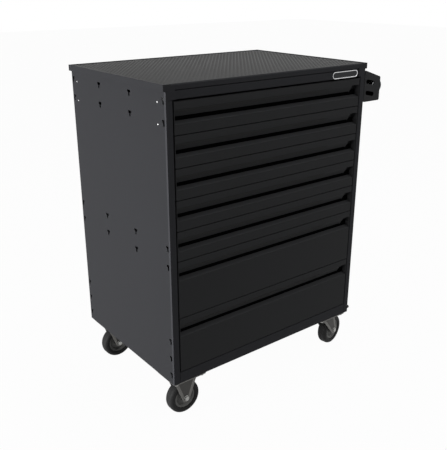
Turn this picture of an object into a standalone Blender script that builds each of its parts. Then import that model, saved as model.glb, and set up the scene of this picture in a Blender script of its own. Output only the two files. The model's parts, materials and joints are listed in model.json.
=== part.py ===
"""Roller tool cabinet: a folded sheet body on two rigid and two swivel casters, seven drawers on
telescopic runners, a lid with a rubber mat, and a push handle on the right side.

Metres, +Z up. The front looks along -Y and the cabinet stands on z = 0. Shapes are drawn in body
coordinates: x from the left side, y back from the front, z up from the floor.
"""

import math

import bmesh
import bpy
from mathutils import Matrix, Vector

# Overall sizes
body_width = 0.700
body_depth = 0.4935
body_height = 0.818
caster_height = 0.130

# Sheet metal, seats and cuts
sheet = 0.0012
seat_gap = 0.0003
overrun = 0.002
weld_overlap = 0.0004
weld_distance = 0.000001
bend_radius = 0.0025
bend_steps = 2
hidden_flange = 0.015

# Front posts, bottom rail and header
post_width = 0.020
post_return = 0.015
bottom_rail_height = 0.034
bottom_rail_flange = 0.018
pan_back_flange = 0.018
header_height = 0.022
header_setback = 0.0015
header_depth = 0.025
header_inset = 0.028
lid_to_header_gap = 0.0015
header_to_drawer_gap = 0.0047

# Lid and mat
lid_side_overhang = 0.006
lid_back_overhang = 0.002
lid_side_lip = 0.0165
lid_front_lip = 0.0142
lid_rim_width = 0.004
mat_recess_depth = 0.0068
mat_thickness = 0.0055

# T-shaped hanging slots in the side panels
slot_height = 0.0155
slot_arm_length = 0.0148
slot_arm_height = 0.0064
slot_stem_width = 0.006
slot_edge_inset = 0.0105
slot_column_shares = (0.3425, 0.666)
slot_full_row_shares = (0.952, 0.888, 0.494, 0.430)
slot_edge_row_shares = (0.163, 0.098, 0.034)

# Nameplate
nameplate_length = 0.104
nameplate_height = 0.0195
nameplate_thickness = 0.0012
nameplate_right_inset = 0.034
nameplate_steps = 8

# Drawers, from the top one down, in units of one low drawer
drawer_units = (1, 1, 1, 1, 1, 2, 2)
drawer_gap = 0.0024
drawer_side_gap = 0.0031

# Drawer front with its finger recess
front_depth = 0.020
band_height = 0.0182
recess_depth = 0.013
recess_wall_drop = 0.022
finger_slot_height = 0.007
lip_drop = 0.0072
front_end_wall = 0.0015
front_end_flange = 0.028
recess_pocket_width = 0.0284

# Drawer tray
tray_back_gap = 0.0352
tray_below_gap = 0.004
tray_above_gap = 0.012
deep_tray_above_gap = 0.009

# Telescopic runners
runner_height = 0.035
runner_reach = 0.0123
runner_post_gap = 0.0017
runner_running_gap = 0.0004
runner_web_gap = 0.0011
runner_tray_gap = 0.0023
runner_axis_height = 0.036
runner_front_gap = 0.002
runner_back_gap = 0.0235
middle_runner_back_step = 0.008
inner_runner_back_step = 0.006

# Uprights that carry the runners
upright_width = 0.030
upright_front_setback = 0.030
upright_back_setback = 0.0485
upright_head_gap = 0.012

# Push handle
bracket_reach = 0.0707
bracket_depth = 0.028
bracket_wall = 0.0025
bracket_height = 0.0935
bracket_slope_drop = 0.0235
bracket_top_below_lid = 0.0215
bracket_corner_radius = 0.004
bracket_slot_length = 0.038
bracket_slot_width = 0.0125
bracket_slot_depth = 0.020
bracket_slot_tilt = math.radians(-12)
bracket_slot_steps = 6
bracket_slot_reach_share = 0.36
bracket_slot_height_shares = (0.61, 0.256)
grip_diameter = 0.042
grip_wall = 0.002
grip_proud = 0.010
grip_height_share = 0.46
grip_steps = 24

# Casters
wheel_diameter = 0.101
wheel_width = 0.032
wheel_steps = 26
tyre_shoulder_width = 0.004
tyre_shoulder_drop = 0.0107
tyre_wall_inset = 0.001
rim_diameter = 0.068
rim_width = 0.025
rim_lip = 0.003
rim_web_thickness = 0.008
rim_web_outer_share = 0.80
hub_diameter = 0.022
hub_width = 0.035
axle_diameter = 0.010
axle_head_diameter = 0.015
axle_head_height = 0.005
axle_steps = 12
fork_gap = 0.001
fork_sheet = 0.0025
fork_top_length = 0.086
fork_end_radius = 0.013
fork_end_steps = 6
plate_length = 0.110
plate_width = 0.093
plate_thickness = 0.003
plate_corner_radius = 0.008
race_diameter = 0.060
race_height = 0.009
race_steps = 16
kingpin_diameter = 0.012
kingpin_gap = 0.0005
kingpin_head_diameter = 0.020
kingpin_head_height = 0.005
swivel_trail = 0.042
swivel_fork_front = 0.034
swivel_fork_back = 0.038
left_caster_inset = 0.0565
right_caster_inset = 0.066
front_caster_inset = 0.047
back_caster_inset = 0.0605
front_swivel_turn = math.radians(11)
back_swivel_turn = math.radians(4)

# Heights that follow
body_bottom = caster_height
body_top = caster_height + body_height
lid_plate_top = body_top - mat_recess_depth
panel_top = lid_plate_top - sheet - seat_gap
header_top = body_top - lid_front_lip - lid_to_header_gap
header_bottom = header_top - header_height
opening_top = header_bottom - header_to_drawer_gap
opening_bottom = body_bottom + bottom_rail_height
drawer_unit = (opening_top - opening_bottom) / sum(drawer_units)
pan_top = body_bottom + sheet
flange_bottom = pan_top + seat_gap

# Widths that follow
inner_face = sheet + seat_gap
runner_outer = post_width + runner_post_gap
runner_tip = runner_outer + runner_reach
tray_side = runner_tip + runner_tray_gap
front_side = post_width + drawer_side_gap
tray_front = front_depth + seat_gap
runner_front = front_depth + runner_front_gap
runner_back = body_depth - runner_back_gap
middle_runner_back = runner_back - middle_runner_back_step
inner_runner_back = middle_runner_back - inner_runner_back_step

# Handle places that follow
bracket_top = body_top - bracket_top_below_lid
bracket_bottom = bracket_top - bracket_height
bracket_inner = body_width + seat_gap
bracket_outer = bracket_inner + bracket_reach
grip_middle = (bracket_outer + grip_proud - grip_diameter / 2, bracket_bottom + bracket_height * grip_height_share)

# Caster places that follow
axle_drop = caster_height - seat_gap - wheel_diameter / 2
leg_inner = hub_width / 2 + fork_gap
leg_outer = leg_inner + fork_sheet
axle_hole_radius = axle_diameter / 2 + seat_gap

# The body's front left corner on the floor, with the whole cabinet centred on the origin
body_corner = Vector((
    (lid_side_overhang - bracket_outer - grip_proud) / 2,
    -(body_depth + lid_back_overhang) / 2,
    0,
))

axis_turns = {
    "x": Matrix(((0, 0, 1), (1, 0, 0), (0, 1, 0))).to_4x4(),
    "y": Matrix(((1, 0, 0), (0, 0, -1), (0, 1, 0))).to_4x4(),
    "z": Matrix.Identity(4),
}
axis_directions = {"x": Vector((1, 0, 0)), "y": Vector((0, 1, 0)), "z": Vector((0, 0, 1))}

finishes = {
    "powder_coat": ((0.030, 0.031, 0.033), 0.45, 0.0),
    "drawer_paint": ((0.026, 0.027, 0.028), 0.45, 0.0),
    "mat_rubber": ((0.075, 0.075, 0.076), 0.75, 0.0),
    "runner_zinc": ((0.45, 0.46, 0.47), 0.40, 0.9),
    "caster_zinc": ((0.38, 0.37, 0.36), 0.42, 0.9),
    "rim_plastic": ((0.20, 0.20, 0.19), 0.50, 0.0),
    "tyre_rubber": ((0.020, 0.020, 0.020), 0.70, 0.0),
    "grip_metal": ((0.42, 0.43, 0.44), 0.35, 0.9),
    "nameplate_metal": ((0.40, 0.40, 0.41), 0.35, 0.8),
}


def clear_scene():
    for obj in list(bpy.data.objects):
        bpy.data.objects.remove(obj)


def make_collection(name):
    collection = bpy.data.collections.new(name)
    bpy.context.scene.collection.children.link(collection)
    return collection


def finish_material(finish):
    """The material of a finish, made when it is first asked for."""
    material = bpy.data.materials.get(finish)
    if material is None:
        colour, roughness, metallic = finishes[finish]
        material = bpy.data.materials.new(finish)
        material.use_nodes = True
        shader = material.node_tree.nodes["Principled BSDF"]
        shader.inputs["Base Color"].default_value = (*colour, 1)
        shader.inputs["Roughness"].default_value = roughness
        shader.inputs["Metallic"].default_value = metallic
        material.diffuse_color = (*colour, 1)
    return material


def add_part(obj, finish):
    """Makes an object a visible piece of the cabinet."""
    cabinet_parts.objects.link(obj)
    obj.data.materials.append(finish_material(finish))
    return obj


def add_helper(obj):
    """Makes an object a hidden shape that is joined to a piece or cut from it."""
    cutters.objects.link(obj)
    obj.hide_render = True
    obj.display_type = "WIRE"
    return obj


def combine(piece, other, operation):
    """Joins the other shape to the piece, or cuts it away."""
    add_helper(other)
    modifier = piece.modifiers.new(other.name, "BOOLEAN")
    modifier.solver = "EXACT"
    modifier.operation = operation
    modifier.object = other


def place(objects, location, turn=0):
    """Puts pieces and their helpers, drawn in one local frame, at a point of the body."""
    for obj in objects:
        obj.location = body_corner + Vector(location)
        obj.rotation_euler.z = turn


def boxes(name, corners):
    """One mesh of boxes, each given by its lowest and highest corner."""
    shape = bmesh.new()
    for low, high in corners:
        made = bmesh.ops.create_cube(shape, size=1)["verts"]
        size = [b - a for a, b in zip(low, high)]
        middle = [(a + b) / 2 for a, b in zip(low, high)]
        bmesh.ops.scale(shape, vec=size, verts=made)
        bmesh.ops.translate(shape, vec=middle, verts=made)
    mesh = bpy.data.meshes.new(name)
    shape.to_mesh(mesh)
    shape.free()
    return bpy.data.objects.new(name, mesh)


def slab(name, loops, axis, low, high):
    """A flat outline, with holes or separate outlines, as a solid along an axis from low to high.

    The outline's two coordinates are (y, z) along x, (x, z) along y and (x, y) along z.
    """
    curve = bpy.data.curves.new(name, "CURVE")
    curve.dimensions = "2D"
    curve.fill_mode = "BOTH"
    curve.extrude = (high - low) / 2
    for loop in loops:
        spline = curve.splines.new("POLY")
        spline.points.add(len(loop) - 1)
        for point, (first, second) in zip(spline.points, loop):
            point.co = (first, second, 0, 1)
        spline.use_cyclic_u = True
    drawn = bpy.data.objects.new(name, curve)
    bpy.context.scene.collection.objects.link(drawn)
    graph = bpy.context.evaluated_depsgraph_get()
    mesh = bpy.data.meshes.new_from_object(drawn.evaluated_get(graph))
    bpy.data.objects.remove(drawn)
    bpy.data.curves.remove(curve)
    shape = bmesh.new()
    shape.from_mesh(mesh)
    bmesh.ops.remove_doubles(shape, verts=shape.verts, dist=weld_distance)
    bmesh.ops.recalc_face_normals(shape, faces=shape.faces)
    shape.to_mesh(mesh)
    shape.free()
    mesh.name = name
    middle = axis_directions[axis] * (low + high) / 2
    mesh.transform(Matrix.Translation(middle) @ axis_turns[axis])
    return bpy.data.objects.new(name, mesh)


def turned(name, profile, steps):
    """A profile of (radius, height) points, from the top down its outer side, turned about Z."""
    shape = bmesh.new()
    points = [shape.verts.new((radius, 0, height)) for radius, height in profile]
    ends = zip(points, points[1:])
    if profile[0][0] > 0:
        ends = zip(points, points[1:] + points[:1])
    for start, end in ends:
        shape.edges.new((start, end))
    mesh = bpy.data.meshes.new(name)
    shape.to_mesh(mesh)
    shape.free()
    obj = bpy.data.objects.new(name, mesh)
    screw = obj.modifiers.new("turning", "SCREW")
    screw.steps = steps
    screw.render_steps = steps
    screw.use_merge_vertices = True
    screw.merge_threshold = weld_distance
    screw.use_smooth_shade = True
    return obj


def rounded(points, radius, closed=False):
    """An outline with each corner replaced by an arc."""
    result = []
    for i, corner in enumerate(points):
        if not closed and i in (0, len(points) - 1):
            result.append(corner)
            continue
        middle = Vector(corner)
        back = (Vector(points[i - 1]) - middle).normalized()
        ahead = (Vector(points[(i + 1) % len(points)]) - middle).normalized()
        half = back.angle(ahead) / 2
        centre = middle + (back + ahead).normalized() * radius / math.sin(half)
        start = middle + back * radius / math.tan(half) - centre
        side = 1 if back.cross(ahead) < 0 else -1
        for step in range(bend_steps + 1):
            angle = side * (math.pi - 2 * half) * step / bend_steps
            turned_start = Matrix.Rotation(angle, 2) @ start
            result.append(tuple(centre + turned_start))
    return result


def sheet_section(path, thickness):
    """The closed section of a folded sheet: its outer path, and that path moved to its left."""
    inner = []
    for i, point in enumerate(path):
        here = Vector(point)
        into = here - Vector(path[i - 1]) if i else Vector(path[1]) - here
        out = Vector(path[i + 1]) - here if i < len(path) - 1 else into
        left_in = Vector((-into.y, into.x)).normalized()
        left_out = Vector((-out.y, out.x)).normalized()
        normal = (left_in + left_out).normalized()
        inner.append(tuple(here + normal * thickness / normal.dot(left_in)))
    return list(path) + inner[::-1]


def circle(centre, radius, steps):
    angles = [2 * math.pi * i / steps for i in range(steps)]
    return [(centre[0] + radius * math.cos(a), centre[1] + radius * math.sin(a)) for a in angles]


def across(x, right):
    """The same place on the left or on the right side of the body."""
    return body_width - x if right else x


def t_slot(y, z, ahead, behind):
    """A T outline around its middle, whose arm reaches ahead and behind of its stem."""
    half = slot_stem_width / 2
    top = z + slot_height / 2
    under = top - slot_arm_height
    bottom = z - slot_height / 2
    corners = [
        (y - ahead, top), (y - ahead, under), (y - half, under), (y - half, bottom),
        (y + half, bottom), (y + half, under), (y + behind, under), (y + behind, top),
    ]
    return list(dict.fromkeys(corners))


def hanging_slots():
    """The outlines of one side's slots, whose edge columns have their arm on one side only."""
    arm = slot_arm_length / 2
    stem = slot_stem_width / 2
    back_edge = body_depth - slot_edge_inset
    loops = []
    for share in slot_full_row_shares + slot_edge_row_shares:
        z = body_bottom + body_height * share
        loops.append(t_slot(slot_edge_inset, z, stem, arm))
        loops.append(t_slot(back_edge, z, arm, stem))
    for share in slot_full_row_shares:
        for column in slot_column_shares:
            z = body_bottom + body_height * share
            loops.append(t_slot(body_depth * column, z, arm, arm))
    return loops


def side_panel(name, right):
    """A side face with its front post and rear flange in one folded sheet."""
    path = rounded(
        [(hidden_flange, body_depth), (0, body_depth), (0, 0), (post_width, 0), (post_width, post_return)],
        bend_radius,
    )
    section = [(across(x, right), y) for x, y in sheet_section(path, sheet)]
    panel = slab(name, [section], "z", body_bottom, panel_top)
    post_top = body_top - lid_front_lip - seat_gap
    flange_x = sorted((across(sheet / 2, right), across(hidden_flange, right)))
    flange_y = (bend_radius, body_depth - bend_radius)
    flanges = boxes(name + "_flanges", [
        ((flange_x[0], flange_y[0], z - sheet), (flange_x[1], flange_y[1], z))
        for z in (panel_top, flange_bottom + sheet)
    ])
    combine(panel, flanges, "UNION")
    post_flat = post_width - bend_radius - weld_overlap
    head_x = sorted((across(post_flat, right), across(header_inset - seat_gap, right)))
    head = boxes(name + "_post_head", [((head_x[0], 0, header_bottom), (head_x[1], sheet, post_top))])
    combine(panel, head, "UNION")
    relief_x = sorted((across(-overrun, right), across(header_inset + overrun, right)))
    relief = boxes(name + "_lid_relief", [
        ((relief_x[0], -overrun, post_top), (relief_x[1], sheet + seat_gap, panel_top + overrun)),
    ])
    combine(panel, relief, "DIFFERENCE")
    cut_x = sorted((across(-overrun, right), across(sheet + overrun, right)))
    slots = slab(name + "_slots", hanging_slots(), "x", *cut_x)
    combine(panel, slots, "DIFFERENCE")
    add_part(panel, "powder_coat")
    place((panel, flanges, head, relief, slots), (0, 0, 0))


def back_panel():
    back = body_depth - sheet - seat_gap
    side = bend_radius + seat_gap
    panel = boxes("back_panel", [(
        (side, back - sheet, flange_bottom),
        (body_width - side, back, panel_top - sheet - seat_gap),
    )])
    notch_top = flange_bottom + sheet + seat_gap
    notch_width = hidden_flange + seat_gap
    notches = boxes("back_panel_notches", [
        ((x - notch_width, back - sheet - overrun, body_bottom), (x + notch_width, back + overrun, notch_top))
        for x in (0, body_width)
    ])
    combine(panel, notches, "DIFFERENCE")
    add_part(panel, "powder_coat")
    place((panel, notches), (0, 0, 0))


def base_pan():
    """The floor of the body, folded up into the bottom rail in front and a flange at the back."""
    back = body_depth - 2 * (sheet + seat_gap)
    path = rounded(
        [
            (bottom_rail_flange, opening_bottom), (0, opening_bottom), (0, body_bottom),
            (back, body_bottom), (back, body_bottom + pan_back_flange),
        ],
        bend_radius,
    )
    pan = slab("base_pan", [sheet_section(path, sheet)], "x", inner_face, body_width - inner_face)
    beside_post = post_width + seat_gap
    behind_post = post_return + seat_gap
    front_notches = boxes("base_pan_post_notches", [
        ((x - beside_post, -overrun, body_bottom - overrun), (x + beside_post, behind_post, opening_bottom + overrun))
        for x in (0, body_width)
    ])
    combine(pan, front_notches, "DIFFERENCE")
    flange_clear = hidden_flange + seat_gap
    back_notches = boxes("base_pan_back_notches", [
        ((x - flange_clear, back - sheet - overrun, pan_top), (x + flange_clear, back + overrun, opening_bottom))
        for x in (0, body_width)
    ])
    combine(pan, back_notches, "DIFFERENCE")
    add_part(pan, "powder_coat")
    place((pan, front_notches, back_notches), (0, 0, 0))


def header_panel():
    path = rounded(
        [
            (header_depth, header_top), (header_setback, header_top),
            (header_setback, header_bottom), (header_depth, header_bottom),
        ],
        bend_radius,
    )
    header = slab("header_panel", [sheet_section(path, sheet)], "x", header_inset, body_width - header_inset)
    add_part(header, "powder_coat")
    place([header], (0, 0, 0))


def lid_and_mat():
    left = -lid_side_overhang
    right = body_width + lid_side_overhang
    back = body_depth + lid_back_overhang
    bottom = body_top - lid_side_lip
    lid = boxes("lid", [((left, 0, bottom), (right, back, body_top))])
    rim = lid_rim_width
    recess = boxes("lid_mat_recess", [
        ((left + rim, rim, lid_plate_top), (right - rim, back - rim, body_top + overrun)),
    ])
    combine(lid, recess, "DIFFERENCE")
    underside = boxes("lid_underside", [
        ((left + sheet, sheet, bottom - overrun), (right - sheet, back - sheet, lid_plate_top - sheet)),
    ])
    combine(lid, underside, "DIFFERENCE")
    front_relief = boxes("lid_front_relief", [
        ((-seat_gap, -overrun, bottom - overrun), (body_width + seat_gap, 2 * sheet, body_top - lid_front_lip)),
    ])
    combine(lid, front_relief, "DIFFERENCE")
    add_part(lid, "powder_coat")
    edge = rim + seat_gap
    floor = lid_plate_top + seat_gap
    mat = boxes("top_mat", [((left + edge, edge, floor), (right - edge, back - edge, floor + mat_thickness))])
    add_part(mat, "mat_rubber")
    place((lid, recess, underside, front_relief, mat), (0, 0, 0))


def obround(centre, length, width, tilt, steps):
    """A slot outline with round ends."""
    half = (length - width) / 2
    points = []
    for side in (1, -1):
        for i in range(steps + 1):
            angle = math.pi * i / steps - side * math.pi / 2
            points.append((side * half + width / 2 * math.cos(angle), width / 2 * math.sin(angle)))
    turn = Matrix.Rotation(tilt, 2)
    return [tuple(Vector(centre) + turn @ Vector(point)) for point in points]


def nameplate():
    x = body_width - nameplate_right_inset - nameplate_length / 2
    z = (header_top + header_bottom) / 2
    outline = obround((x, z), nameplate_length, nameplate_height, 0, nameplate_steps)
    back = header_setback - seat_gap
    plate = slab("nameplate", [outline], "y", back - nameplate_thickness, back)
    add_part(plate, "nameplate_metal")
    place([plate], (0, 0, 0))


def drawer_places():
    """The number, bottom and height of each drawer front, from the top one down."""
    top = opening_top
    places = []
    for number, units in enumerate(drawer_units, start=1):
        bottom = top - units * drawer_unit
        places.append((number, bottom + drawer_gap, top - bottom - drawer_gap))
        top = bottom
    return places


def runner_channel(outer, tip, middle, height, right):
    """The C section of a runner member, open towards its tip."""
    side = 1 if tip > outer else -1
    top, bottom = middle + height / 2, middle - height / 2
    path = [(tip, top), (outer, top), (outer, bottom), (tip, bottom)]
    section = sheet_section(path if side > 0 else path[::-1], sheet)
    return [(across(x, right), z) for x, z in section]


def runner_frame(name, right):
    """Two uprights and the fixed member of each runner, welded together."""
    fronts = (upright_front_setback, body_depth - upright_back_setback - upright_width)
    face = runner_outer + weld_overlap
    loops = []
    for front in fronts:
        back = front + upright_width
        path = [(inner_face, front), (face, front), (face, back), (inner_face, back)]
        loops.append([(across(x, right), y) for x, y in sheet_section(path, sheet)])
    foot = flange_bottom + sheet + seat_gap
    frame = slab(name, loops, "z", foot, panel_top - upright_head_gap)
    channels = [
        runner_channel(runner_outer, runner_tip, bottom + runner_axis_height, runner_height, right)
        for _, bottom, _ in drawer_places()
    ]
    members = slab(name + "_members", channels, "y", runner_front, runner_back)
    combine(frame, members, "UNION")
    add_part(frame, "runner_zinc")
    place((frame, members), (0, 0, 0))


def middle_runner(name, bottom, right):
    """The middle member of a runner, nested in the fixed one."""
    height = runner_height - 2 * (sheet + runner_running_gap)
    outer = runner_outer + sheet + runner_web_gap
    section = runner_channel(outer, runner_tip, runner_axis_height, height, right)
    member = slab(name, [section], "y", runner_front, middle_runner_back)
    add_part(member, "runner_zinc")
    place([member], (0, 0, bottom))


def drawer_tray(name, bottom, height):
    """An open-topped box with the inner runner member on each side."""
    above_gap = deep_tray_above_gap if height > drawer_unit else tray_above_gap
    low = (tray_side, tray_front, tray_below_gap)
    high = (body_width - tray_side, body_depth - tray_back_gap, height - above_gap)
    tray = boxes(name, [(low, high)])
    hollow = boxes(name + "_hollow", [(
        tuple(value + sheet for value in low),
        (high[0] - sheet, high[1] - sheet, high[2] + overrun),
    )])
    combine(tray, hollow, "DIFFERENCE")
    member_height = runner_height - 4 * (sheet + runner_running_gap)
    member_web = tray_side + weld_overlap
    member_tip = runner_outer + 2 * (sheet + runner_web_gap)
    sections = [
        runner_channel(member_web, member_tip, runner_axis_height, member_height, right)
        for right in (False, True)
    ]
    members = slab(name + "_runners", sections, "y", runner_front, inner_runner_back)
    combine(tray, members, "UNION")
    add_part(tray, "drawer_paint")
    place((tray, hollow, members), (0, 0, bottom))


def drawer_front(name, bottom, height):
    """A hollow front with a finger recess: a band, a wall that slopes back, a slot and a lip.

    The wall stops short of the right end, where the recess is a pocket.
    """
    recess_bottom = height - band_height - recess_wall_drop
    lip_back = recess_bottom - finger_slot_height
    lip_front = lip_back - lip_drop
    upper = [(front_depth, height), (0, height), (0, height - band_height), (recess_depth, recess_bottom)]
    lower = [(recess_depth, lip_back), (0, lip_front), (0, 0), (front_depth, 0)]
    sections = [sheet_section(upper, sheet), sheet_section(lower, sheet)]
    left = front_side
    right = body_width - front_side
    front = slab(name, sections, "x", left + front_end_wall / 2, right - front_end_wall / 2)
    pocket = boxes(name + "_pocket", [(
        (right - front_end_wall - recess_pocket_width, -overrun, lip_back + seat_gap),
        (right + overrun, front_depth + overrun, height - band_height),
    )])
    combine(front, pocket, "DIFFERENCE")
    wall = left + front_end_wall
    flange = left + front_end_flange
    inside = front_depth - sheet
    angle = [(left, 0), (wall, 0), (wall, inside), (flange, inside), (flange, front_depth), (left, front_depth)]
    loops = [[(across(x, on_right), y) for x, y in angle] for on_right in (False, True)]
    end_walls = slab(name + "_end_walls", loops, "z", 0, height)
    combine(front, end_walls, "UNION")
    add_part(front, "drawer_paint")
    place((front, pocket, end_walls), (0, 0, bottom))


def bracket_outline():
    """The bracket's end face: square at the body and sloping down along its top."""
    outer_top = bracket_top - bracket_slope_drop
    corners = [
        (bracket_inner, bracket_bottom), (bracket_outer, bracket_bottom),
        (bracket_outer, outer_top), (bracket_inner, bracket_top),
    ]
    return rounded(corners, bracket_corner_radius, closed=True)


def handle_bracket(name, face, inward):
    """An end block with two blind slots in its outer face and a seat for the grip behind it."""
    back = face + inward * bracket_depth
    bracket = slab(name, [bracket_outline()], "y", *sorted((face, back)))
    seat_ends = sorted((face + inward * bracket_wall, back + inward * overrun))
    seat_loop = circle(grip_middle, grip_diameter / 2 + seat_gap, grip_steps)
    seat = slab(name + "_seat", [seat_loop], "y", *seat_ends)
    combine(bracket, seat, "DIFFERENCE")
    x = bracket_inner + bracket_reach * bracket_slot_reach_share
    loops = [
        obround(
            (x, bracket_bottom + bracket_height * share),
            bracket_slot_length, bracket_slot_width, bracket_slot_tilt, bracket_slot_steps,
        )
        for share in bracket_slot_height_shares
    ]
    slot_ends = sorted((face - inward * overrun, face + inward * bracket_slot_depth))
    slots = slab(name + "_slots", loops, "y", *slot_ends)
    combine(bracket, slots, "DIFFERENCE")
    add_part(bracket, "powder_coat")
    place((bracket, seat, slots), (0, 0, 0))


def handle_grip():
    """A tube whose ends sit in the two brackets."""
    outside = circle(grip_middle, grip_diameter / 2, grip_steps)
    inside = circle(grip_middle, grip_diameter / 2 - grip_wall, grip_steps)
    ends = bracket_wall + seat_gap
    grip = slab("handle_grip", [outside, inside], "y", ends, body_depth - ends)
    add_part(grip, "grip_metal")
    place([grip], (0, 0, 0))


def caster_plate_outline():
    x, y = plate_length / 2, plate_width / 2
    return rounded([(-x, -y), (x, -y), (x, y), (-x, y)], plate_corner_radius, closed=True)


def tangent_angle(corner, centre, radius, side):
    """Where a line from the corner touches a circle, as the angle of that point about its centre."""
    reach = Vector(centre) - Vector(corner)
    heading = math.atan2(reach.y, reach.x) + side * math.asin(radius / reach.length)
    return heading + side * math.pi / 2


def fork_leg_outline(front, back, top, axle):
    """A leg that narrows from its top edge to a round end about the axle."""
    first = tangent_angle((front, top), axle, fork_end_radius, -1)
    last = tangent_angle((back, top), axle, fork_end_radius, 1)
    last += 2 * math.pi * math.ceil((first - last) / (2 * math.pi))
    arc = [first + (last - first) * i / fork_end_steps for i in range(fork_end_steps + 1)]
    ends = [(axle[0] + fork_end_radius * math.cos(a), axle[1] + fork_end_radius * math.sin(a)) for a in arc]
    return [(back, top), (front, top)] + ends


def fork_legs(name, front, back, top, trail):
    """Both legs of a fork, in the caster's own frame with its top face at zero."""
    axle = (trail, -axle_drop)
    outline = fork_leg_outline(front, back, top, axle)
    hole = circle(axle, axle_hole_radius, axle_steps)
    near = slab(name + "_near_leg", [outline, hole], "y", -leg_outer, -leg_inner)
    far = slab(name + "_far_leg", [outline, hole], "y", leg_inner, leg_outer)
    return near, far


def rigid_fork(name, place_at):
    """A top plate and two straight legs in one pressing."""
    fork = slab(name, [caster_plate_outline()], "z", -plate_thickness, 0)
    half = fork_top_length / 2
    legs = fork_legs(name, -half, half, -plate_thickness / 2, 0)
    for leg in legs:
        combine(fork, leg, "UNION")
    add_part(fork, "caster_zinc")
    place((fork, *legs), place_at)


def swivel_plate(name, place_at):
    """A top plate with the ball race under it and the kingpin that holds the fork."""
    plate = slab(name, [caster_plate_outline()], "z", -plate_thickness, 0)
    race_bottom = -plate_thickness - race_height
    pin_bottom = race_bottom - 2 * seat_gap - fork_sheet
    pin = turned(name + "_kingpin", [
        (0, -plate_thickness / 2), (race_diameter / 2, -plate_thickness / 2),
        (race_diameter / 2, race_bottom), (kingpin_diameter / 2, race_bottom),
        (kingpin_diameter / 2, pin_bottom), (kingpin_head_diameter / 2, pin_bottom),
        (kingpin_head_diameter / 2, pin_bottom - kingpin_head_height),
        (0, pin_bottom - kingpin_head_height),
    ], race_steps)
    combine(plate, pin, "UNION")
    add_part(plate, "caster_zinc")
    place((plate, pin), place_at)


def swivel_fork(name, place_at, turn):
    """A bridge under the ball race and two legs that trail behind it."""
    top = -plate_thickness - race_height - seat_gap
    x = (-swivel_fork_front, swivel_fork_back)
    bridge = rounded([(x[0], -leg_outer), (x[1], -leg_outer), (x[1], leg_outer), (x[0], leg_outer)],
                     fork_sheet / 2, closed=True)
    hole = circle((0, 0), kingpin_diameter / 2 + kingpin_gap, race_steps)
    fork = slab(name, [bridge, hole], "z", top - fork_sheet, top)
    inset = fork_sheet
    legs = fork_legs(name, x[0] + inset, x[1] - inset, top - fork_sheet / 2, swivel_trail)
    for leg in legs:
        combine(fork, leg, "UNION")
    add_part(fork, "caster_zinc")
    place((fork, *legs), place_at, turn)


def wheel_on_axle(corner, place_at, turn, trail):
    """The tyre, rim and axle bolt of one caster, all turned about the axle."""
    to_corner = 1 / math.cos(math.pi / wheel_steps)
    radius = wheel_diameter / 2 * to_corner
    seat = rim_diameter / 2 * to_corner
    half = wheel_width / 2
    shoulder = radius - tyre_shoulder_drop
    between = (radius + shoulder) / 2 + tyre_shoulder_width / 2
    side = [
        (seat + seat_gap, half - tyre_wall_inset), (shoulder, half),
        (between, half - tyre_shoulder_width), (radius - tyre_wall_inset, half - 2 * tyre_shoulder_width),
        (radius, half / 4),
    ]
    tyre = turned("tyre_" + corner, side + [(r, -z) for r, z in side[::-1]], wheel_steps)
    web = rim_web_thickness / 2
    bore = (axle_diameter / 2 + seat_gap) * to_corner
    side = [
        (bore, hub_width / 2), (hub_diameter / 2, hub_width / 2), (hub_diameter / 2, web),
        (seat * rim_web_outer_share, web), (seat - rim_lip, rim_width / 2), (seat, rim_width / 2),
    ]
    rim = turned("rim_" + corner, side + [(r, -z) for r, z in side[::-1]], wheel_steps)
    head = leg_outer + seat_gap
    side = [
        (0, head + axle_head_height), (axle_head_diameter / 2, head + axle_head_height),
        (axle_head_diameter / 2, head), (axle_diameter / 2, head),
    ]
    axle = turned("axle_" + corner, side + [(r, -z) for r, z in side[::-1]], axle_steps)
    add_part(tyre, "tyre_rubber")
    add_part(rim, "rim_plastic")
    add_part(axle, "caster_zinc")
    middle = Vector((trail * math.cos(turn), trail * math.sin(turn), -axle_drop))
    place((tyre, rim, axle), Vector(place_at) + middle, turn)
    for obj in (tyre, rim, axle):
        obj.rotation_euler.x = math.pi / 2


def casters():
    top = body_bottom - seat_gap
    front = front_caster_inset
    back = body_depth - back_caster_inset
    for corner, y in (("front_left", front), ("back_left", back)):
        place_at = (left_caster_inset, y, top)
        rigid_fork("rigid_fork_" + corner, place_at)
        wheel_on_axle(corner, place_at, 0, 0)
    for corner, y, turn in (("front_right", front, front_swivel_turn), ("back_right", back, back_swivel_turn)):
        place_at = (body_width - right_caster_inset, y, top)
        swivel_plate("swivel_plate_" + corner, place_at)
        swivel_fork("swivel_fork_" + corner, place_at, turn)
        wheel_on_axle(corner, place_at, turn, swivel_trail)


def drawers():
    for number, bottom, height in drawer_places():
        drawer_front(f"drawer_front_{number}", bottom, height)
        drawer_tray(f"drawer_tray_{number}", bottom, height)
        middle_runner(f"middle_runner_left_{number}", bottom, False)
        middle_runner(f"middle_runner_right_{number}", bottom, True)


clear_scene()
cabinet_parts = make_collection("roller_tool_cabinet")
cutters = make_collection("cutters")
side_panel("left_side_panel", False)
side_panel("right_side_panel", True)
back_panel()
base_pan()
header_panel()
lid_and_mat()
nameplate()
runner_frame("runner_frame_left", False)
runner_frame("runner_frame_right", True)
drawers()
handle_bracket("handle_bracket_front", 0, 1)
handle_bracket("handle_bracket_back", body_depth, -1)
handle_grip()
casters()
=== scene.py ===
"""Looks of a roller tool cabinet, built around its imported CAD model.

The sheet metal pieces are softened copies of the CAD solids. The mat, casters, handle, nameplate
and fasteners are modelled here on the places that the solids give. Lengths are in metres.
"""

import json
import math

import bmesh
import bpy
from mathutils import Matrix, Vector

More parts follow.
